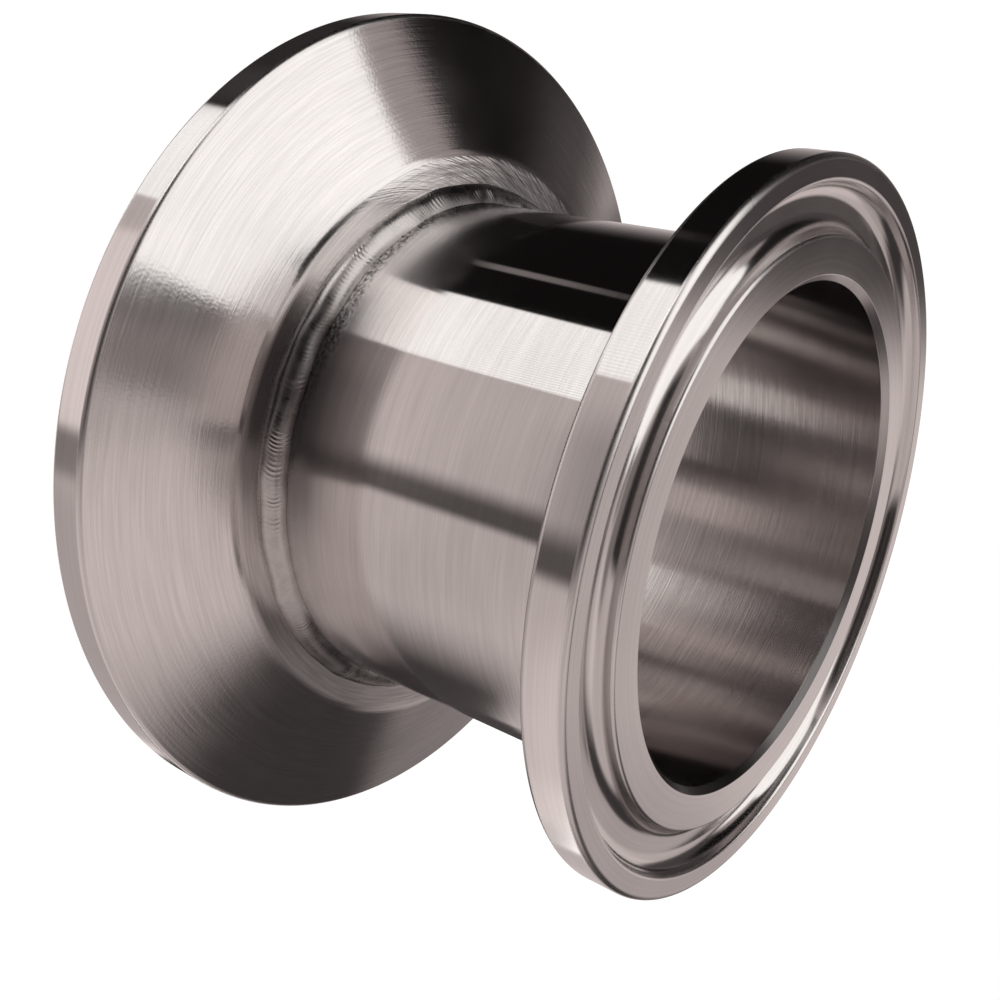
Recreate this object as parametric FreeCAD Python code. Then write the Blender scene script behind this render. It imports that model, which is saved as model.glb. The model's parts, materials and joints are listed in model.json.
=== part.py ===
import FreeCAD, Part
import math
import os

os.makedirs("parts", exist_ok=True)

# A reducing cap for sanitary clamp joints, turned in stainless steel. It stands on the sealing
# face of its large clamp plate, with the small clamp ferrule on top. Sizes are in millimetres,
# +Z is the common axis, and the origin is the centre of the large sealing face.

# Both clamp flanges
overall_length = 35.0
taper_angle = 20.0
rim_thickness = 2.85
rim_back_radius = 0.4
face_edge_radius = 0.4

# Large clamp plate, with a flat ring left around the tube
plate_rim_radius = 32.0
plate_thickness = 6.35
plate_groove_radius = 28.15

# Small clamp ferrule, in one piece with its tube
ferrule_rim_radius = 25.25
ferrule_groove_radius = 21.98
tube_outer_radius = 19.05
tube_wall = 1.65
bore_edge_chamfer = 0.45
neck_fillet_radius = 2.0

# Gasket groove, the same section in both sealing faces
groove_width = 3.24
groove_depth = 1.3
groove_wall_slant = 15.0
groove_floor_radius = 1.1
groove_edge_radius = 0.25

# Weld bead between the plate's flat ring and the tube
bead_leg_on_plate = 1.4
bead_leg_on_tube = 1.3
bead_crown = 0.3

bore_radius = tube_outer_radius - tube_wall


def profile_point(radius, height):
    return FreeCAD.Vector(radius, 0.0, height)


def round_corner(before, corner, after, radius):
    # start, middle and end of the arc that rounds the corner between two straight runs
    back = (before - corner).normalize()
    ahead = (after - corner).normalize()
    half_angle = back.getAngle(ahead) / 2.0
    run = radius / math.tan(half_angle)
    inward = (back + ahead).normalize()
    centre = corner + inward * (radius / math.sin(half_angle))
    return corner + back * run, centre - inward * radius, corner + ahead * run


def turned(corners):
    # a closed outline of straight runs and rounded corners, turned about the Z axis
    edges = []
    joints = []
    count = len(corners)
    for index in range(count):
        radius, height, rounding = corners[index]
        corner = profile_point(radius, height)
        if rounding > 0:
            before = profile_point(*corners[index - 1][:2])
            after = profile_point(*corners[(index + 1) % count][:2])
            start, middle, end = round_corner(before, corner, after, rounding)
            edges.append(Part.Arc(start, middle, end).toShape())
            joints.append((start, end))
        else:
            joints.append((corner, corner))
    for index in range(count):
        leaving = joints[index][1]
        arriving = joints[(index + 1) % count][0]
        edges.append(Part.makeLine(leaving, arriving))
    outline = Part.Wire(Part.__sortEdges__(edges))
    section = Part.Face(outline)
    return section.revolve(FreeCAD.Vector(0, 0, 0), FreeCAD.Vector(0, 0, 1), 360)


def groove_corners(mean_radius, face_height, into_metal):
    # gasket groove in a sealing face, from its inner edge to its outer edge
    half_width = groove_width / 2.0
    slant = groove_depth * math.tan(math.radians(groove_wall_slant))
    floor_height = face_height + into_metal * groove_depth
    return [
        (mean_radius - half_width, face_height, groove_edge_radius),
        (mean_radius - half_width + slant, floor_height, groove_floor_radius),
        (mean_radius + half_width - slant, floor_height, groove_floor_radius),
        (mean_radius + half_width, face_height, groove_edge_radius),
    ]


def clamp_plate():
    # plain disc with a hole for the tube, a tapered back and a groove in its sealing face
    taper_run = (plate_thickness - rim_thickness) / math.tan(math.radians(taper_angle))
    outline = [(tube_outer_radius, 0.0, 0.0)]
    outline += groove_corners(plate_groove_radius, 0.0, 1.0)
    outline += [
        (plate_rim_radius, 0.0, face_edge_radius),
        (plate_rim_radius, rim_thickness, rim_back_radius),
        (plate_rim_radius - taper_run, plate_thickness, 0.0),
        (tube_outer_radius, plate_thickness, 0.0),
    ]
    return turned(outline)


def tube_ferrule():
    # tube through the plate, swelling by a fillet and the clamp taper into the small flange
    taper_rise = (ferrule_rim_radius - tube_outer_radius) * math.tan(math.radians(taper_angle))
    rim_back_height = overall_length - rim_thickness
    outline = [
        (bore_radius + bore_edge_chamfer, 0.0, 0.0),
        (tube_outer_radius, 0.0, 0.0),
        (tube_outer_radius, rim_back_height - taper_rise, neck_fillet_radius),
        (ferrule_rim_radius, rim_back_height, rim_back_radius),
        (ferrule_rim_radius, overall_length, face_edge_radius),
    ]
    outline += reversed(groove_corners(ferrule_groove_radius, overall_length, -1.0))
    outline += [
        (bore_radius + bore_edge_chamfer, overall_length, 0.0),
        (bore_radius, overall_length - bore_edge_chamfer, 0.0),
        (bore_radius, bore_edge_chamfer, 0.0),
    ]
    return turned(outline)


def weld_bead():
    # crowned fillet weld in the corner between the plate's flat ring and the tube
    corner = profile_point(tube_outer_radius, plate_thickness)
    toe_on_plate = profile_point(tube_outer_radius + bead_leg_on_plate, plate_thickness)
    toe_on_tube = profile_point(tube_outer_radius, plate_thickness + bead_leg_on_tube)
    chord = toe_on_tube - toe_on_plate
    outward = FreeCAD.Vector(chord.z, 0.0, -chord.x).normalize()
    crown = (toe_on_plate + toe_on_tube) * 0.5 + outward * bead_crown
    edges = [
        Part.makeLine(corner, toe_on_plate),
        Part.Arc(toe_on_plate, crown, toe_on_tube).toShape(),
        Part.makeLine(toe_on_tube, corner),
    ]
    section = Part.Face(Part.Wire(edges))
    return section.revolve(FreeCAD.Vector(0, 0, 0), FreeCAD.Vector(0, 0, 1), 360)


pieces = {
    "clamp_plate": clamp_plate(),
    "tube_ferrule": tube_ferrule(),
    "weld_bead": weld_bead(),
}
for name, shape in pieces.items():
    shape.exportStep("parts/" + name + ".step")
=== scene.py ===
import json
import math

import bpy
import numpy as np
from mathutils import Matrix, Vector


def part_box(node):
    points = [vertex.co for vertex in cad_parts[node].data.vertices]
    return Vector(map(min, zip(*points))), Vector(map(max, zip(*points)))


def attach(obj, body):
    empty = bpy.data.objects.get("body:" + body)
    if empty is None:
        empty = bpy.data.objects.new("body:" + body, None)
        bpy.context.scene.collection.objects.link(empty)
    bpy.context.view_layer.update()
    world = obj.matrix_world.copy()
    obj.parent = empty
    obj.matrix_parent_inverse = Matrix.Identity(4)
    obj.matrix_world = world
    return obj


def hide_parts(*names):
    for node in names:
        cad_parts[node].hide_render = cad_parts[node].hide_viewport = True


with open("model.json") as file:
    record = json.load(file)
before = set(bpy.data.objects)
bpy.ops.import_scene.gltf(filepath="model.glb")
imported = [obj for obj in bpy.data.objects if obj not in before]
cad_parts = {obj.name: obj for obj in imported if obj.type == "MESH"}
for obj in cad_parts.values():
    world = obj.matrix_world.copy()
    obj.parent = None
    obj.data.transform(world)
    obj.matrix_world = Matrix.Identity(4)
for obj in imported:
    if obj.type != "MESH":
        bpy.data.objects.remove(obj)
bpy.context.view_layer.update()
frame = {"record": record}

mm = 0.001               # every size below is in millimetres until it goes into a mesh
micron = 0.001 * mm      # and every depth of a bump in thousandths of one
mapLength = 100.0        # millimetres of section for one step of the turning map's u
scene = bpy.context.scene

# sizes that the frame already holds
mounts = {mount["name"]: mount for mount in frame["record"]["mounts"]}
plateRimRadius = mounts["large_rim"]["dims"]["r_mm"]
ferruleRimRadius = mounts["small_rim"]["dims"]["r_mm"]
boreRadius = mounts["through_bore"]["dims"]["r_mm"]
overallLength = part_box("tube_ferrule")[1].z / mm
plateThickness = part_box("clamp_plate")[1].z / mm
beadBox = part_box("weld_bead")
beadToeOnPlate = beadBox[1].x / mm
beadToeOnTube = beadBox[1].z / mm

# the turned section that both flanges share
flange = {
    "taperAngle": 20.0,
    "rimThickness": 2.85,
    "rimBackRadius": 0.4,
    "faceEdgeRadius": 0.4,
    "grooveWidth": 3.24,
    "grooveDepth": 1.3,
    "grooveWallSlant": 15.0,
    "grooveFloorRadius": 1.1,
    "grooveEdgeRadius": 0.25,
    "edgeBreak": 0.06,   # the touch of a file that every sharp corner gets
    "satinUpTo": 0.45,   # corners up to this radius stay satin, larger ones are polished with their runs
}
print("frame loaded: rims", plateRimRadius, "and", ferruleRimRadius, "length", overallLength)


# Turned sections

def gridFaces(rows, columns, closed=True):
    # four-sided faces over rows of points: the columns run into a ring, and closed rows do too
    row, column = np.meshgrid(np.arange(rows if closed else rows - 1), np.arange(columns), indexing="ij")
    nextRow, nextColumn = (row + 1) % rows, (column + 1) % columns
    faces = np.stack([
        row * columns + column, row * columns + nextColumn,
        nextRow * columns + nextColumn, nextRow * columns + column,
    ], -1)
    return faces.reshape(-1, 4), row, column


def addPiece(name, mesh, materials):
    # an object in the scene with its materials in slot order
    piece = bpy.data.objects.new(name, mesh)
    scene.collection.objects.link(piece)
    for material in materials:
        piece.data.materials.append(material)
    return piece


def roundedSection(corners, arcSteps=8):
    # corners are (radius, height, rounding, finish of the run that follows); a rounded corner is an
    # arc tangent to both runs, with its centre on the bisector. Normals stand on the right of travel.
    points, normals, finishes = [], [], []
    for index, (radius, height, rounding, finish) in enumerate(corners):
        corner = np.array([radius, height])
        back = np.array(corners[index - 1][:2]) - corner
        ahead = np.array(corners[(index + 1) % len(corners)][:2]) - corner
        back /= np.linalg.norm(back)
        ahead /= np.linalg.norm(ahead)
        bisector = (back + ahead) / np.linalg.norm(back + ahead)
        halfAngle = math.acos(float(np.clip(back @ ahead, -1, 1))) / 2
        centre = corner + bisector * rounding / math.sin(halfAngle)
        start = corner + back * rounding / math.tan(halfAngle) - centre
        end = corner + ahead * rounding / math.tan(halfAngle) - centre
        first = math.atan2(start[1], start[0])
        turn = (math.atan2(end[1], end[0]) - first + math.pi) % (2 * math.pi) - math.pi
        angle = first + turn * np.linspace(0, 1, arcSteps + 1)
        spoke = np.stack([np.cos(angle), np.sin(angle)], 1)
        points.append(centre + rounding * spoke)
        normals.append(spoke * (1 if turn > 0 else -1))
        if flange["edgeBreak"] < rounding <= flange["satinUpTo"]:
            finishes += ["edge"] * arcSteps + [finish]
        else:
            finishes += [corners[index - 1][3]] * (arcSteps // 2) + [finish] * (arcSteps // 2 + 1)
    return np.concatenate(points), np.concatenate(normals), finishes


def grooveCorners(meanRadius, faceHeight, intoMetal, landFinish):
    # the gasket groove from its inner to its outer edge: slanted walls and a round floor
    half = flange["grooveWidth"] / 2
    slant = flange["grooveDepth"] * math.tan(math.radians(flange["grooveWallSlant"]))
    floorHeight = faceHeight + intoMetal * flange["grooveDepth"]
    return [
        (meanRadius - half, faceHeight, flange["grooveEdgeRadius"], "groove"),
        (meanRadius - half + slant, floorHeight, flange["grooveFloorRadius"], "groove"),
        (meanRadius + half - slant, floorHeight, flange["grooveFloorRadius"], "groove"),
        (meanRadius + half, faceHeight, flange["grooveEdgeRadius"], landFinish),
    ]


def turnedPiece(name, section, finishNames, segments=400):
    # every section point carried round the axis: x = r cos a, y = r sin a, z = height
    points, normals, finishes = section
    angle = np.arange(segments) * (2 * np.pi / segments)
    ringCos, ringSin = np.cos(angle), np.sin(angle)
    radius, height = points[:, :1] * mm, points[:, 1:] * mm
    place = np.stack([radius * ringCos, radius * ringSin, height + 0 * ringCos], -1)
    across, upward = normals[:, :1], normals[:, 1:]
    outward = np.stack([across * ringCos, across * ringSin, upward + 0 * ringCos], -1)
    faces, row, column = gridFaces(len(points), segments)
    mesh = bpy.data.meshes.new(name)
    mesh.from_pydata(place.reshape(-1, 3), [], faces)
    # the map's u runs along the section and its v once round the axis
    step = np.linalg.norm(np.roll(points, -1, 0) - points, axis=1)
    along = np.concatenate([[0], np.cumsum(step)]) / mapLength
    u = np.stack([along[row], along[row], along[row + 1], along[row + 1]], -1)
    v = np.stack([column, column + 1, column + 1, column], -1) / segments
    layer = mesh.uv_layers.new(name="turning")
    layer.uv.foreach_set("vector", np.stack([u, v], -1).ravel())
    mesh.polygons.foreach_set("use_smooth", np.ones(len(faces), bool))
    slots = np.array([finishNames.index(finish) for finish in finishes])
    mesh.polygons.foreach_set("material_index", np.repeat(slots, segments))
    mesh.normals_split_custom_set_from_vertices(outward.reshape(-1, 3))
    mesh.update()
    return addPiece(name, mesh, [finishes3d[finish] for finish in finishNames])


# Node helpers for the steel finishes

def addNode(tree, kind, inputs=None, **options):
    # one node with its options and inputs set; an input is a value or another node's socket
    node = tree.nodes.new(kind)
    for option, value in options.items():
        setattr(node, option, value)
    for socket, value in (inputs or {}).items():
        if isinstance(value, bpy.types.NodeSocket):
            tree.links.new(value, node.inputs[socket])
        else:
            node.inputs[socket].default_value = value
    return node


def calculate(tree, operation, first, second=0.0, third=0.0):
    # one operation on up to three numbers; MULTIPLY_ADD is first x second + third
    node = addNode(tree, "ShaderNodeMath", {0: first, 1: second, 2: third}, operation=operation)
    return node.outputs[0]


def remap(tree, value, fromLow, fromHigh, toLow=0.0, toHigh=1.0, smooth=True):
    # toLow up to fromLow, toHigh from fromHigh on, and a smooth or a straight ramp in between
    kind = "SMOOTHSTEP" if smooth else "LINEAR"
    inputs = {
        "Value": value, "From Min": fromLow, "From Max": fromHigh, "To Min": toLow, "To Max": toHigh,
    }
    return addNode(tree, "ShaderNodeMapRange", inputs, interpolation_type=kind).outputs[0]


def mixColour(tree, factor, first, second):
    # first + factor x (second - first)
    node = addNode(tree, "ShaderNodeMix", {0: factor, 6: first, 7: second}, data_type="RGBA")
    return node.outputs[2]


def turningPlace(tree, around, across, lead=0.0):
    # (around cos a, around sin a, across x millimetres along the section): a closed ring in the noise;
    # lead is added to the angle for each millimetre, which makes slanting strokes
    uv = addNode(tree, "ShaderNodeUVMap", uv_map="turning").outputs[0]
    parts = addNode(tree, "ShaderNodeSeparateXYZ", {0: uv})
    along = calculate(tree, "MULTIPLY", parts.outputs[0], mapLength)
    angle = calculate(tree, "MULTIPLY", parts.outputs[1], 2 * math.pi)
    angle = calculate(tree, "MULTIPLY_ADD", along, lead, angle)
    x = calculate(tree, "MULTIPLY", calculate(tree, "COSINE", angle), around)
    y = calculate(tree, "MULTIPLY", calculate(tree, "SINE", angle), around)
    z = calculate(tree, "MULTIPLY", along, across)
    return addNode(tree, "ShaderNodeCombineXYZ", {0: x, 1: y, 2: z}).outputs[0]


def noiseAt(tree, place, scale=1.0, detail=1.0, roughness=0.55):
    # smooth noise about 0.5, with roughly one change in each 1 / scale of the place
    inputs = {"Vector": place, "Scale": scale, "Detail": detail, "Roughness": roughness}
    return addNode(tree, "ShaderNodeTexNoise", inputs).outputs[0]


def facing(tree, place, angle, spread):
    # 1 within a third of the spread of the angle and 0 outside the spread, with a smooth ramp of the
    # cosine between that angle and the place's own direction from the axis
    toward = (math.cos(math.radians(angle)), math.sin(math.radians(angle)), 0)
    flat = addNode(tree, "ShaderNodeVectorMath", {0: place, 1: (1, 1, 0)}, operation="MULTIPLY").outputs[0]
    spoke = addNode(tree, "ShaderNodeVectorMath", {0: flat}, operation="NORMALIZE").outputs[0]
    turn = addNode(tree, "ShaderNodeVectorMath", {0: spoke, 1: toward}, operation="DOT_PRODUCT")
    outer, inner = math.cos(math.radians(spread)), math.cos(math.radians(spread / 3))
    return remap(tree, turn.outputs["Value"], outer, inner)


def unshadedAt(tree, place, stretches):
    # the largest of several facings: 1 on every stretch of the turn that is left out of the painted shade
    brushed = 0.0
    for angle, spread in stretches:
        brushed = calculate(tree, "MAXIMUM", brushed, facing(tree, place, angle, spread))
    return brushed


# the stretch of a noise's values that each look follows from one end to the other
noiseSpan = {
    "roughness": (0.35, 0.68),
    "strokeTone": (0.35, 0.65),
    "smear": (0.3, 0.7),
    "stain": (0.35, 0.6),
}


def steelFinish(name, looks):
    # bright steel: height is the sum of strokes, hand-ground strokes and grain; tone is their mean,
    # times slow smears and, where a look asks for it, painted shade; next to the weld the tube is mottled
    # with stains, rougher, and darker from more painted shade
    material = bpy.data.materials.new(name)
    material.use_nodes = True
    tree = material.node_tree
    tree.nodes.clear()
    height = 0.0
    tone = 0.0
    place = addNode(tree, "ShaderNodeTexCoord").outputs["Object"]
    for around, across, lead, depth in looks["strokes"]:
        stroke = noiseAt(tree, turningPlace(tree, around, across, lead))
        height = calculate(tree, "MULTIPLY_ADD", stroke, depth * micron, height)
        tone = calculate(tree, "ADD", tone, stroke)
    if "handGround" in looks:
        # slanting strokes of a hand grinder over one stretch of the turn
        ground = looks["handGround"]
        stroke = noiseAt(tree, turningPlace(tree, *ground["stroke"]))
        where = facing(tree, place, ground["angle"], ground["spread"])
        stroke = calculate(tree, "MULTIPLY", stroke, where)
        height = calculate(tree, "MULTIPLY_ADD", stroke, ground["depth"] * micron, height)
    if "grainDepth" in looks:
        grain = noiseAt(tree, place, looks["grainScale"], 0.0)
        height = calculate(tree, "MULTIPLY_ADD", grain, looks["grainDepth"] * micron, height)
    patch = noiseAt(tree, place, looks["patchScale"], 2.0)
    roughLow, roughHigh = looks["roughness"]
    roughness = remap(tree, patch, *noiseSpan["roughness"], roughLow, roughHigh)
    tone = calculate(tree, "DIVIDE", tone, float(len(looks["strokes"])))
    shade = remap(tree, tone, *noiseSpan["strokeTone"], looks["strokeTone"], 1.0, smooth=False)
    smear = remap(tree, patch, *noiseSpan["smear"], looks["smear"], 1.0)
    shade = calculate(tree, "MULTIPLY", shade, smear)
    if "tarnish" in looks:
        # painted shade: the colour is darkened to the tone everywhere but on the listed stretches of the
        # turn
        brushed = unshadedAt(tree, place, looks["tarnish"]["brushed"])
        paintedDarkening = remap(tree, brushed, 0.0, 1.0, looks["tarnish"]["tone"], 1.0, smooth=False)
        shade = calculate(tree, "MULTIPLY", shade, paintedDarkening)
    if "weldZone" in looks:
        zone = looks["weldZone"]
        heightAt = addNode(tree, "ShaderNodeSeparateXYZ", {0: place}).outputs[2]
        wander = calculate(tree, "MULTIPLY_ADD", patch, zone["wander"] * mm, heightAt)
        near = remap(tree, wander, zone["fadeEnd"] * mm, zone["fadeStart"] * mm)
        roughness = calculate(tree, "MULTIPLY_ADD", near, zone["roughness"], roughness)
        mottle = noiseAt(tree, place, zone["mottleScale"])
        band = remap(tree, wander, zone["mottleEnd"] * mm, zone["mottleStart"] * mm)
        burnt = facing(tree, place, zone["mottleAngle"], zone["mottleSpread"])
        band = calculate(tree, "MULTIPLY", band, burnt)
        lump = calculate(tree, "MULTIPLY", mottle, band)
        height = calculate(tree, "MULTIPLY_ADD", lump, zone["mottleDepth"] * micron, height)
        stain = remap(tree, mottle, *noiseSpan["stain"], zone["mottleTone"], 1.0)
        stain = remap(tree, band, 0.0, 1.0, 1.0, stain, smooth=False)
        shade = calculate(tree, "MULTIPLY", shade, stain)
        # painted shade: next to the weld the colour is darkened to the tone, except on the unshaded
        # stretches of the turn
        weldShade = remap(tree, wander, zone["dullEnd"] * mm, zone["dullStart"] * mm)
        bright = unshadedAt(tree, place, zone["brushed"])
        weldShade = calculate(tree, "MULTIPLY", weldShade, calculate(tree, "SUBTRACT", 1.0, bright))
        weldShade = remap(tree, weldShade, 0.0, 1.0, 1.0, zone["dullTone"], smooth=False)
        shade = calculate(tree, "MULTIPLY", shade, weldShade)
    bump = addNode(tree, "ShaderNodeBump", {"Strength": 1.0, "Distance": 1.0, "Height": height})
    colour = mixColour(tree, shade, (0, 0, 0, 1), (*looks["colour"], 1))
    tangent = addNode(tree, "ShaderNodeTangent", direction_type="UV_MAP", uv_map="turning")
    shader = addNode(tree, "ShaderNodeBsdfPrincipled", {
        "Base Color": colour, "Metallic": 1.0, "Roughness": roughness,
        "Anisotropic": looks["anisotropic"], "Normal": bump.outputs[0], "Tangent": tangent.outputs[0],
    })
    output = addNode(tree, "ShaderNodeOutputMaterial")
    tree.links.new(shader.outputs[0], output.inputs[0])
    return material


plainSteel = {
    "colour": (0.67, 0.64, 0.63),
    "anisotropic": 0.8,
    "patchScale": 90.0,
    "smear": 0.93,
    "strokeTone": 0.94,
}
# strokes are (around, across, lead, depth). Depths are in thousandths of a millimetre, the weld zone's
# starts and ends are heights in millimetres, and scales are per metre.
finishLooks = {
    "taper": {**plainSteel, "roughness": (0.11, 0.15), "anisotropic": 0.9, "strokeTone": 0.86,
              "grainDepth": 1.5, "grainScale": 4500.0,
              "strokes": [(3.0, 5.5, 0.0, 3.6), (8.0, 11.0, 0.0, 1.5)]},
    "rim": {**plainSteel, "roughness": (0.07, 0.09), "anisotropic": 1.0,
            "strokes": [(2.5, 5.0, 0.0, 0.8)]},
    "edge": {**plainSteel, "roughness": (0.24, 0.30), "anisotropic": 0.6,
             "strokes": [(1.0, 6.0, 0.0, 0.9)]},
    "ring": {**plainSteel, "roughness": (0.14, 0.20), "anisotropic": 0.6, "strokeTone": 0.8,
             "grainDepth": 1.0, "grainScale": 4500.0, "strokes": [(5.0, 6.0, 0.0, 3.5)],
             "handGround": {"stroke": (58.0, 0.9, 0.14), "depth": 24.0,
                            "angle": -168.0, "spread": 52.0}},
    "face": {**plainSteel, "roughness": (0.10, 0.13), "strokes": [(0.8, 6.0, 0.0, 0.9)]},
    "groove": {**plainSteel, "roughness": (0.13, 0.17), "anisotropic": 0.9,
               "strokes": [(1.0, 6.0, 0.0, 0.6)]},
    "tube": {**plainSteel, "roughness": (0.055, 0.07), "anisotropic": 1.0, "strokeTone": 0.89,
             "strokes": [(5.0, 7.0, 0.0, 0.9), (1.5, 2.2, 0.0, 1.0)],
             "weldZone": {"fadeStart": 9.0, "fadeEnd": 16.0, "wander": 1.5, "roughness": 0.11,
                          # the painted shade next to the weld fades in between its start and end heights,
                          # down to its tone
                          "dullStart": 9.5, "dullEnd": 13.5, "dullTone": 0.45,
                          "brushed": ((-127.0, 24.0), (-30.0, 44.0)),
                          "mottleStart": 8.7, "mottleEnd": 9.7, "mottleScale": 3400.0,
                          "mottleDepth": 60.0, "mottleTone": 0.25,
                          "mottleAngle": -150.0, "mottleSpread": 75.0}},
    "mouth": {**plainSteel, "roughness": (0.24, 0.30), "anisotropic": 0.6,
              "strokes": [(1.0, 6.0, 0.0, 0.9)],
              # painted shade: the chamfer round the mouth is darkened on all but one wide stretch of the
              # turn
              "tarnish": {"tone": 0.2, "brushed": ((-145.0, 130.0),)}},
    "bore": {**plainSteel, "roughness": (0.13, 0.14), "anisotropic": 1.0, "strokeTone": 0.84,
             "smear": 0.97,
             "strokes": [(6.0, 5.0, 0.0, 1.2), (0.8, 13.0, 0.0, 7.0)]},
}
finishes3d = {name: steelFinish("steel_" + name, looks) for name, looks in finishLooks.items()}
print("steel finishes made:", ", ".join(finishes3d))


# Large clamp plate
plate = {
    "holeRadius": boreRadius + 1.65,   # the tube's outside, which is its bore and its wall
    "grooveRadius": 28.15,
    "shoulderRadius": 3.0,             # soft turn from the taper to the flat ring at the weld
}


def clampPlate():
    # section from the hole along the grooved sealing face, up the rim, down the taper and back along
    # the flat ring that the weld stands on
    taper = (plateThickness - flange["rimThickness"]) / math.tan(math.radians(flange["taperAngle"]))
    corners = [(plate["holeRadius"], 0.0, flange["edgeBreak"], "face")]
    corners += grooveCorners(plate["grooveRadius"], 0.0, 1.0, "face")
    corners += [
        (plateRimRadius, 0.0, flange["faceEdgeRadius"], "rim"),
        (plateRimRadius, flange["rimThickness"], flange["rimBackRadius"], "taper"),
        (plateRimRadius - taper, plateThickness, plate["shoulderRadius"], "ring"),
        (plate["holeRadius"], plateThickness, flange["edgeBreak"], "ring"),
    ]
    finishNames = ["face", "groove", "rim", "taper", "ring", "edge"]
    piece = turnedPiece("clamp_plate_turned", roundedSection(corners), finishNames)
    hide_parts("clamp_plate")
    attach(piece, "root")


# Tube with the small clamp ferrule
ferrule = {
    "grooveRadius": 21.98,
    "tubeRadius": 19.05,
    "boreChamfer": 0.45,
    "neckRadius": 2.0,
}


def tubeFerrule():
    # section from the far end up the tube, through the neck fillet to the rim, over the grooved face
    # and down the bore
    taper = (ferruleRimRadius - ferrule["tubeRadius"]) * math.tan(math.radians(flange["taperAngle"]))
    rimBack = overallLength - flange["rimThickness"]
    edge = flange["edgeBreak"]
    corners = [
        (boreRadius + ferrule["boreChamfer"], 0.0, edge, "face"),
        (ferrule["tubeRadius"], 0.0, edge, "tube"),
        (ferrule["tubeRadius"], rimBack - taper, ferrule["neckRadius"], "taper"),
        (ferruleRimRadius, rimBack, flange["rimBackRadius"], "rim"),
        (ferruleRimRadius, overallLength, flange["faceEdgeRadius"], "face"),
    ]
    groove = grooveCorners(ferrule["grooveRadius"], overallLength, -1.0, "groove")[::-1]
    groove[-1] = groove[-1][:3] + ("face",)
    corners += groove
    corners += [
        (boreRadius + ferrule["boreChamfer"], overallLength, edge, "mouth"),
        (boreRadius, overallLength - ferrule["boreChamfer"], edge, "bore"),
        (boreRadius, ferrule["boreChamfer"], edge, "face"),
    ]
    finishNames = ["face", "groove", "rim", "taper", "tube", "bore", "edge", "mouth"]
    piece = turnedPiece("tube_ferrule_turned", roundedSection(corners), finishNames)
    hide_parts("tube_ferrule")
    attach(piece, "root")


clampPlate()
tubeFerrule()
print("turned pieces made")

# Weld bead
bead = {
    "crown": 0.3,
    "rippleCount": 400,
    "rippleDepth": 0.007,
    "rippleShare": (0.45, 0.55),   # how much of their height stays, and how much comes and goes
    "rippleBow": 1.6,        # how far the ripples bow, in ripples
    "ripplePhase": 1.2,      # how unevenly they follow each other, in radians
    "toeInset": 0.08,        # how far the toes stay inside the solid bead's
    "wander": 0.03,          # how far the toes stray
    "sink": 0.03,            # how far the section reaches into its neighbours
    "around": 3200,
    "acrossSteps": 18,
    "mapStep": 0.001,        # the turning map's u from row to row
    "looks": {**plainSteel, "colour": (0.53, 0.50, 0.485), "roughness": (0.25, 0.34),
              "anisotropic": 0.0, "patchScale": 900.0, "smear": 0.82,
              "strokes": [(120.0, 6.0, 0.0, 2.0)],
              # painted shade: the bead is darkened all round but for four stretches of the turn, which stay
              # bright
              "tarnish": {"tone": 0.38, "brushed": ((-128.0, 24.0), (-61.0, 30.0),
                                                    (0.0, 24.0), (178.0, 24.0))}},
}


def roundWave(angle, seed, lowest, highest, count=9):
    # a sum of whole-number cosines round the axis with random phases, about 1 high
    chance = np.random.default_rng(seed)
    turns = chance.integers(lowest, highest, count)
    phase = chance.uniform(0, 2 * np.pi, count)
    return np.cos(np.multiply.outer(angle, turns) + phase).sum(-1) / math.sqrt(count / 2)


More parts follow.
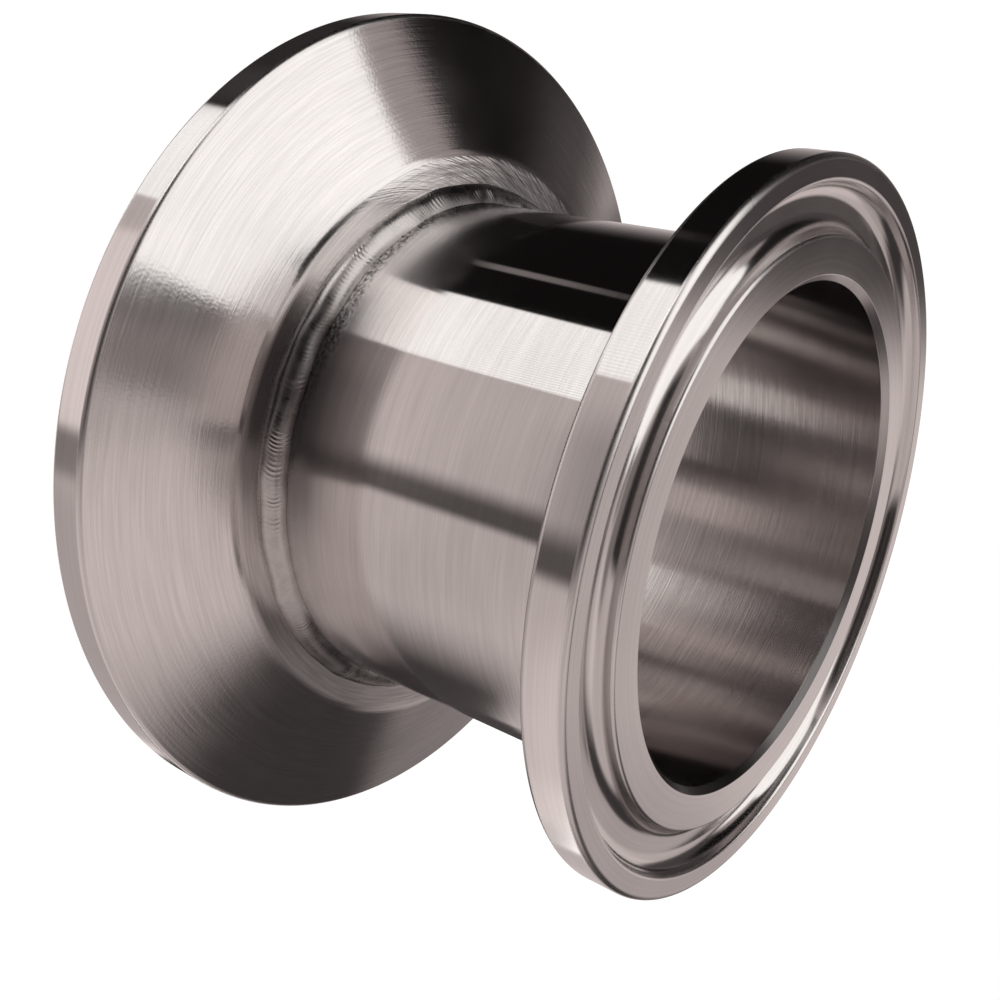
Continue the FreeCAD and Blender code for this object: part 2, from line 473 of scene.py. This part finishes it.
def weldBead():
    # a crowned arc from toe to toe; ripples stand on it as the square of (1 + cos phase) / 2, where the
    # phase runs with the angle round the axis and bows across the bead
    angle = np.arange(bead["around"]) * (2 * np.pi / bead["around"])
    q = np.linspace(0, 1, bead["acrossSteps"] + 1)[:, None]
    tubeRadius = ferrule["tubeRadius"]
    stray = bead["wander"] * roundWave(angle, 5, 2, 40)
    strayToo = bead["wander"] * roundWave(angle, 6, 2, 40)
    toeRadius = beadToeOnPlate - bead["toeInset"] + stray
    toeHeight = beadToeOnTube - bead["toeInset"] + strayToo
    plateToe = np.stack([toeRadius, 0 * angle + plateThickness - bead["sink"]])
    tubeToe = np.stack([0 * angle + tubeRadius - bead["sink"], toeHeight])
    chord = tubeToe - plateToe
    length = np.hypot(*chord)
    outward = np.stack([chord[1], -chord[0]]) / length
    swell = 4 * q * (1 - q)
    bow = bead["rippleBow"] * (2 * q - 1) ** 2
    phase = bead["rippleCount"] * angle + 2 * np.pi * bow + bead["ripplePhase"] * roundWave(angle, 7, 3, 60)
    even, uneven = bead["rippleShare"]
    ripple = (0.5 + 0.5 * np.cos(phase)) ** 2 * (even + uneven * roundWave(angle, 8, 4, 60) ** 2)
    lift = bead["crown"] * swell + bead["rippleDepth"] * ripple * np.sqrt(swell)
    radius = plateToe[0] + chord[0] * q + outward[0] * lift
    height = plateToe[1] + chord[1] * q + outward[1] * lift
    inner = np.ones_like(angle)
    radius = np.vstack([radius, (tubeRadius - bead["sink"]) * inner])
    height = np.vstack([height, (plateThickness - bead["sink"]) * inner])
    place = np.stack([radius * np.cos(angle), radius * np.sin(angle), height], -1) * mm
    faces, row, column = gridFaces(*radius.shape)
    mesh = bpy.data.meshes.new("weld_bead_rippled")
    mesh.from_pydata(place.reshape(-1, 3), [], faces)
    layer = mesh.uv_layers.new(name="turning")
    u = np.stack([row, row, row + 1, row + 1], -1) * bead["mapStep"]
    v = np.stack([column, column + 1, column + 1, column], -1) / bead["around"]
    layer.uv.foreach_set("vector", np.stack([u, v], -1).ravel())
    mesh.polygons.foreach_set("use_smooth", np.ones(len(faces), bool))
    mesh.update()
    piece = addPiece("weld_bead_rippled", mesh, [steelFinish("steel_weld", bead["looks"])])
    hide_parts("weld_bead")
    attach(piece, "root")


weldBead()
print("weld bead made")

# Studio: what the steel mirrors, as soft cards laid over an even room light. Azimuth is measured from
# +X towards +Y and elevation from the horizon up, both in degrees.

def card(azimuth, azimuthFade, elevation, elevationFade, light, panel=0.0):
    # azimuth and elevation are (low side, high side); a side is one angle, or pairs (other angle, angle)
    # where it leans; a fade is how wide each side's soft edge is; panel is the strength of a lamp's rows
    return {
        "azimuth": azimuth, "azimuthFade": azimuthFade,
        "elevation": elevation, "elevationFade": elevationFade,
        "light": light, "panel": panel,
    }


studio = {
    "shellRadius": 6000.0,
    "azimuthSteps": 720,
    "elevationSteps": 126,
    "steepest": 89.9,         # the shell stops just short of straight up and down
    "roomLight": 0.68,
    "roomTint": (1.0, 0.89, 0.87),
    "panelTint": (1.0, 0.985, 0.97),
    "worldLight": 0.5,        # on the floor only
    "panelRows": 1.1,         # degrees from one row of the panel's grid to the next
    "panelRowDepth": 0.50,
    "cards": [
        # below the horizon
        card((-123, -62), (4, 6), (-90, -41), (2, 4), 1.0),
        card((-123, -80), (4, 34), (-41, -31), (4, 2), 0.7),
        card((-109, -60), (20, 6), (-31, 2), (2, 3), 0.33),
        card((-73.5, -61), (11, 5), (-43, 3), (3, 3), 0.118),
        card((-62, -48), (5, 5), (-90, -43), (1, 3), 0.3),
        card((-45, 45), (16, 16), (-90, -42), (1, 3), 0.54),
        card((48, 124), (14, 6), (-90, ((40, -41.5), (52, -42), (60, -45.5), (124, -46))), (1, 3),
             1.15),
        card((6, 90), (44, 36),
             (((0, -42), (50, -42.5), (60, -46), (90, -47)), ((44, -29.5), (60, -25.0), (80, -24.0))),
             (3, 3), 0.065),
        card((-46, 70), (26, 20), (((44, -29.5), (60, -25.5)), -10), (3, 6), 0.93),
        card((28, 110), (16, 10), (((44, -28), (60, -25.5)), -10), (3, 6), 0.62),
        card((-62, -10), (4, 30), (-12, 7), (8, 6), 0.8),
        card((4, 37), (16, 3), (-24.0, -21.0), (1, 1), 3.0, panel=1.0),
        card((88, 117), (3, 3), (-21.8, -15), (1, 4), 2.0),
        card((123, 212), (42, 3), (-90, 16), (2, 6), 0.007),
        card((140, 190), (20, 8), (-90, -43), (2, 4), 0.035),
        # about the horizon
        card((12, 70), (30, 10), (-8, 8), (8, 4), 0.06),
        card((-142, -63), (22, 10), (4.5, 52), (4, 16), 0.03),
        # above the horizon
        card((-122, -20), (20, 60), (50, 78), (14, 6), 0.24),
        card((28, 70), (14, 14), (3, 48), (6, 16), 0.055),
        card((56, 78), (6, 8), (-6, 10), (6, 6), 0.28),
        card((92, 112), (8, 4), (-9, 3), (6, 4), 0.17),
        card((-25, 30), (30, 14), (50, 80), (12, 8), 0.84),
        card((60, 102), (10, 6), (12, 31), (4, 4), 0.53),
        card((77, 102), (6, 6), (8, 31), (4, 4), 0.66),
        card((76, 100), (6, 6), (8, 20.5), (4, 4), 0.78),
        card((70, 104), (10, 4), (35, 66), (6, 10), 0.12),
        card((81, 88), (4, 4), (40, 62), (6, 10), 0.26),
        card((93, 99), (4, 3), (40, 66), (6, 10), 0.04),
        card((101, 150), (6, 2), (3, 38), (4, 3), 0.075),
        card((125, 185), (12, 12), (9, 60), (8, 2), 0.008),
        card((128, 185), (6, 2), (34.6, 60), (1.4, 2), 0.45),
        card((103, ((20, 208), (45, 212), (70, 222), (80, 236))), (5, 8),
             (((103, 39), (120, 42), (146, 44), (150, 42.6), (158, 37), (180, 17), (200, 12)), 80.5),
             (1.2, 1.6), 1.73, panel=0.5),
        card((140, 240), (20, 30), (81, 85), (1.2, 2.5), 0.07),
        card((-180, 180), (1, 1), (84.5, 95), (3, 1), 0.19),
        # the panel lamp, which leans out of its upright edges low down
        card((((-58, -176), (-50, -168), (-39, -157.3), (-31, -153.8), (-5, -150.5)),
              ((-58, -138.5), (-52, -134), (-39, -123), (-31, -121.3), (-5, -121.5))),
             (1.0, 1.0), (-85, 5), (6, 5), 1.84, panel=1.0),
        card((-186, -170), (6, 12), (-90, -44), (2, 4), 0.06),
        card((-150.5, -121.5), (1.2, 1.2), (-7, 5.5), (8, 4), 2.85, panel=0.5),
        card((((-38, -179.6), (-30, -175.2)), ((-38, -175.9), (-30, -172.0))), (0.7, 0.7), (-37.4, -32),
             (0.8, 9), 0.27),
    ],
}


def softStep(value, middle, width):
    # 0 below and 1 above, with a smooth cubic over the width in between
    t = np.clip((value - middle) / width + 0.5, 0, 1)
    return t * t * (3 - 2 * t)


def cardEdge(edge, where):
    # a straight edge is one angle; a leaning one runs straight from pair to pair
    if isinstance(edge, tuple):
        return np.interp(where, *np.transpose(edge))
    return edge


def studioLight(azimuth, elevation):
    # card after card laid over the room light: colour + cover x (light - colour), where the cover is
    # the product of the card's four soft edges
    colour = studio["roomLight"] * np.array(studio["roomTint"]) * np.ones(azimuth.shape + (1,))
    rows = np.zeros(azimuth.shape)
    for each in studio["cards"]:
        low, high = each["azimuth"]
        centre = (np.mean(cardEdge(low, 0.0)) + np.mean(cardEdge(high, 0.0))) / 2
        turned = (azimuth - centre + 180) % 360 - 180 + centre
        softLow, softHigh = each["azimuthFade"]
        cover = softStep(turned, cardEdge(low, elevation), softLow)
        cover *= softStep(-turned, -cardEdge(high, elevation), softHigh)
        low, high = each["elevation"]
        softLow, softHigh = each["elevationFade"]
        cover *= softStep(elevation, cardEdge(low, turned), softLow)
        cover *= softStep(-elevation, -cardEdge(high, turned), softHigh)
        tint = np.array(studio["panelTint" if each["panel"] > 0 else "roomTint"])
        colour += cover[..., None] * (each["light"] * tint - colour)
        rows += cover * (each["panel"] - rows)
    return colour, rows


def studioShell():
    # a wide globe that only mirror rays see: x = R cos e cos a, y = R cos e sin a, z = R sin e
    azimuth = np.arange(studio["azimuthSteps"]) * (360 / studio["azimuthSteps"]) - 180
    elevation = np.linspace(-studio["steepest"], studio["steepest"], studio["elevationSteps"])
    elevation, azimuth = np.meshgrid(elevation, azimuth, indexing="ij")
    a, e = np.radians(azimuth), np.radians(elevation)
    place = np.stack([np.cos(e) * np.cos(a), np.cos(e) * np.sin(a), np.sin(e)], -1)
    faces = gridFaces(*a.shape, closed=False)[0]
    mesh = bpy.data.meshes.new("studio_shell")
    mesh.from_pydata(place.reshape(-1, 3) * studio["shellRadius"] * mm, [], faces[:, [0, 3, 2, 1]])
    colour, rows = studioLight(azimuth, elevation)
    light = mesh.attributes.new("light", "FLOAT_COLOR", "POINT")
    painted = np.concatenate([colour, rows[..., None]], -1)
    light.data.foreach_set("color", painted.astype(np.float32).ravel())
    material = bpy.data.materials.new("studio_cards")
    material.use_nodes = True
    material.cycles.emission_sampling = "NONE"
    tree = material.node_tree
    tree.nodes.clear()
    # strength is 1 less the rows' dip, which is a cosine of the azimuth where a card has rows
    paint = addNode(tree, "ShaderNodeAttribute", attribute_name="light")
    direction = addNode(tree, "ShaderNodeTexCoord").outputs["Object"]
    parts = addNode(tree, "ShaderNodeSeparateXYZ", {0: direction})
    turn = calculate(tree, "ARCTAN2", parts.outputs[1], parts.outputs[0])
    wave = calculate(tree, "COSINE", calculate(tree, "MULTIPLY", turn, 360 / studio["panelRows"]))
    half = studio["panelRowDepth"] / 2
    dip = calculate(tree, "MULTIPLY_ADD", wave, half, half)
    dip = calculate(tree, "MULTIPLY", dip, paint.outputs["Alpha"])
    strength = calculate(tree, "SUBTRACT", 1.0, dip)
    glow = addNode(tree, "ShaderNodeEmission", {"Color": paint.outputs["Color"], "Strength": strength})
    output = addNode(tree, "ShaderNodeOutputMaterial")
    tree.links.new(glow.outputs[0], output.inputs[0])
    piece = addPiece("studio_shell", mesh, [material])
    piece.visible_camera = False
    piece.visible_diffuse = False
    piece.visible_shadow = False


def roomWorld():
    # an even soft light on the floor, which neither the camera nor the steel sees
    world = bpy.data.worlds.new("room")
    scene.world = world
    world.use_nodes = True
    tree = world.node_tree
    tree.nodes.clear()
    white = {"Color": (1, 1, 1, 1), "Strength": studio["worldLight"]}
    background = addNode(tree, "ShaderNodeBackground", white)
    output = addNode(tree, "ShaderNodeOutputWorld")
    tree.links.new(background.outputs[0], output.inputs[0])
    world.cycles_visibility.glossy = False
    world.cycles_visibility.camera = False


# Floor and backdrop in one pale sheet that curves up out of sight. Only the camera sees it: the steel
# mirrors the studio cards instead, so it keeps its contrast.
sheet = {
    "flatRadius": 900.0,
    "bendRadius": 600.0,
    "wallRadius": 1500.0,   # the two above together
    "innermost": 0.001,     # the disc's first ring, squared and times flatRadius
    "discSteps": 30,
    "bendSteps": 24,
    "around": 96,
    "drop": 0.02,           # how far the floor lies below the part
    "albedo": 0.55,
    "glow": 0.82,
    "shadeFrom": 60.0,      # the part's soft shade fades out between these two distances
    "shadeTo": 260.0,
}


def floorSheet():
    # flat disc to flatRadius, then a quarter circle up to the wall and a closing dome, all turned
    # about the axis: radius = flat + bend cos t, height = bend + bend sin t, with t from -90 to 0
    rise = np.radians(np.linspace(-90, 90, 2 * sheet["bendSteps"] + 1))
    low, high = rise[1:sheet["bendSteps"] + 1], rise[sheet["bendSteps"] + 1:]
    disc = np.linspace(sheet["innermost"], 1, sheet["discSteps"]) ** 2 * sheet["flatRadius"]
    bend, wall = sheet["bendRadius"], sheet["wallRadius"]
    radius = np.concatenate([disc, sheet["flatRadius"] + bend * np.cos(low), wall * np.cos(high)])
    height = np.concatenate([0 * disc, bend * (1 + np.sin(low)), bend + wall * np.sin(high)])
    angle = np.arange(sheet["around"]) * (2 * np.pi / sheet["around"])
    place = np.stack([radius[:, None] * np.cos(angle), radius[:, None] * np.sin(angle),
                      height[:, None] - sheet["drop"] + 0 * angle], -1) * mm
    faces = gridFaces(len(radius), len(angle), closed=False)[0]
    mesh = bpy.data.meshes.new("floor_sheet")
    mesh.from_pydata(place.reshape(-1, 3), [], faces[:, [0, 3, 2, 1]])
    mesh.polygons.foreach_set("use_smooth", np.ones(len(faces), bool))
    material = bpy.data.materials.new("pale_floor")
    material.use_nodes = True
    tree = material.node_tree
    tree.nodes.clear()
    place = addNode(tree, "ShaderNodeTexCoord").outputs["Object"]
    distance = addNode(tree, "ShaderNodeVectorMath", {0: place}, operation="LENGTH").outputs["Value"]
    away = remap(tree, distance, sheet["shadeFrom"] * mm, sheet["shadeTo"] * mm)
    matte = addNode(tree, "ShaderNodeBsdfDiffuse", {"Color": (sheet["albedo"],) * 3 + (1,)})
    glow = addNode(tree, "ShaderNodeEmission", {"Color": (1, 1, 1, 1), "Strength": sheet["glow"]})
    near = addNode(tree, "ShaderNodeAddShader", {0: matte.outputs[0], 1: glow.outputs[0]})
    far = addNode(tree, "ShaderNodeEmission", {"Color": (1, 1, 1, 1), "Strength": 1.0})
    mixed = addNode(tree, "ShaderNodeMixShader", {0: away, 1: near.outputs[0], 2: far.outputs[0]})
    output = addNode(tree, "ShaderNodeOutputMaterial")
    tree.links.new(mixed.outputs[0], output.inputs[0])
    piece = addPiece("floor_sheet", mesh, [material])
    piece.visible_glossy = False
    piece.visible_diffuse = False
    piece.visible_shadow = False


# Camera at the photograph's viewing angle, with its axis given by heading, pitch and roll in degrees
camera = {
    "place": (0.0, -78.14, 65.27),
    "heading": 87.73,
    "pitch": -34.14,
    "roll": 107.9,
    "lens": 43.83,
    "sensor": 36.0,
    "nearest": 1.0,
    "farthest": 10000.0,
}


def studioCamera():
    # the view runs along heading and pitch; right and up are turned about it by the roll
    heading, pitch, roll = (math.radians(camera[key]) for key in ("heading", "pitch", "roll"))
    level = np.array([math.cos(heading), math.sin(heading), 0.0])
    ahead = math.cos(pitch) * level + np.array([0.0, 0.0, math.sin(pitch)])
    levelRight = np.array([math.sin(heading), -math.cos(heading), 0.0])
    levelUp = np.cross(levelRight, ahead)
    right = math.cos(roll) * levelRight + math.sin(roll) * levelUp
    up = np.cross(right, ahead)
    data = bpy.data.cameras.new("photo_camera")
    data.lens = camera["lens"]
    data.sensor_width = camera["sensor"]
    data.clip_start = camera["nearest"] * mm
    data.clip_end = camera["farthest"] * mm
    holder = bpy.data.objects.new("photo_camera", data)
    scene.collection.objects.link(holder)
    matrix = np.eye(4)
    matrix[:3, 0], matrix[:3, 1], matrix[:3, 2] = right, up, -ahead
    matrix[:3, 3] = np.array(camera["place"]) * mm
    holder.matrix_world = Matrix(matrix.tolist())
    scene.camera = holder


studioShell()
roomWorld()
floorSheet()
studioCamera()
scene.view_settings.view_transform = "Standard"
print("studio, floor and camera made")
